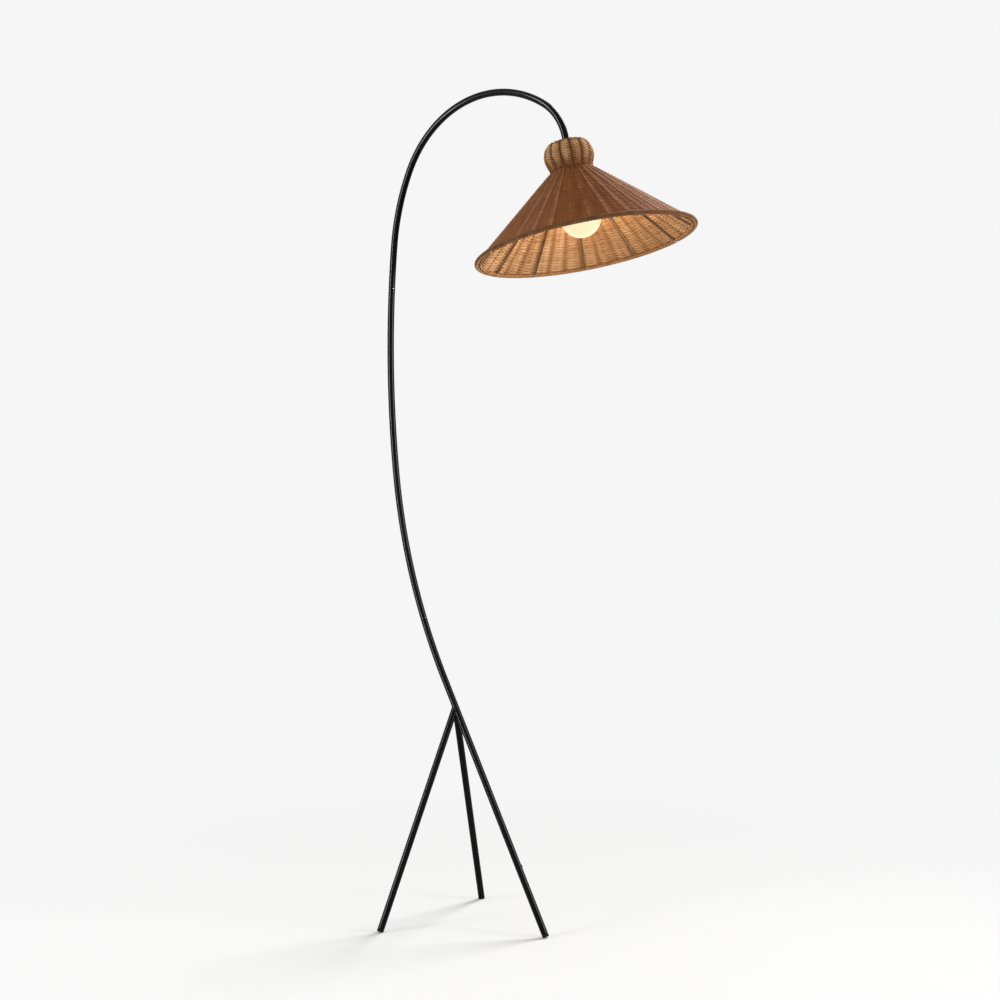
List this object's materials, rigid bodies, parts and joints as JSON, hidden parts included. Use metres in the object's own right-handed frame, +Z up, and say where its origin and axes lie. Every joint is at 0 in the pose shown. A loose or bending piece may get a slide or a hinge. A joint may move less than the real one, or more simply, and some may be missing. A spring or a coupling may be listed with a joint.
{
  "type": "rattan floor lamp",
  "caption": "Floor lamp with a bent black tube pole on three legs that arches over and carries a tilted woven rattan shade with a globe bulb.",
  "frame": {"origin": "on the floor, in the middle of the box round the lamp", "axes": "+Z up, +X from the pole towards the shade, +Y towards the back leg, so that the XZ plane is the plane of the bent pole"},
  "size_m": [0.7192, 0.4408, 1.7013],
  "materials": {
    "black_paint": "satin black powder coat",
    "black_rubber": "matt moulded rubber",
    "zinc_steel": "zinc plated",
    "black_plastic": "moulded, fine matt",
    "white_ceramic": "glazed",
    "brass": "stamped",
    "frame_wire": "brown lacquered wire",
    "rattan": "woven rattan, clear lacquer, dark honey brown",
    "rattan_rim": "woven rattan, clear lacquer, lighter brown",
    "opal_glass": "opal, lit warm",
    "nickel": "nickel plated, satin"
  },
  "bodies": {
    "lamp": {"lower_tube": "black_paint", "middle_tube": "black_paint", "arch_tube": "black_paint", "lower_sleeve": "zinc_steel", "upper_sleeve": "zinc_steel", "cord_bush": "black_rubber", "front_foot": "black_rubber", "left_leg": "black_paint", "left_foot": "black_rubber", "back_leg": "black_paint", "back_foot": "black_rubber", "tube_nipple": "zinc_steel", "jam_nut": "zinc_steel", "holder_cap": "black_plastic", "holder_core": "white_ceramic", "holder_shell": "black_plastic", "screw_contact": "brass", "centre_contact": "brass", "upper_clamp_ring": "black_plastic", "lower_clamp_ring": "black_plastic", "shade_fitter": "zinc_steel", "woven_top": "rattan", "woven_neck": "rattan", "woven_cone": "rattan", "rim_roll": "rattan_rim", "wire_frame": "frame_wire"},
    "bulb": {"bulb_glass": "opal_glass", "bulb_cap": "nickel", "bulb_insulator": "black_plastic", "bulb_tip": "nickel"}
  },
  "joints": [
    {"name": "bulb_unscrew", "type": "slide", "parent": "lamp", "child": "bulb", "axis": [0.2341, 0, -0.9722], "range_m": [0, 0.15]}
  ]
}
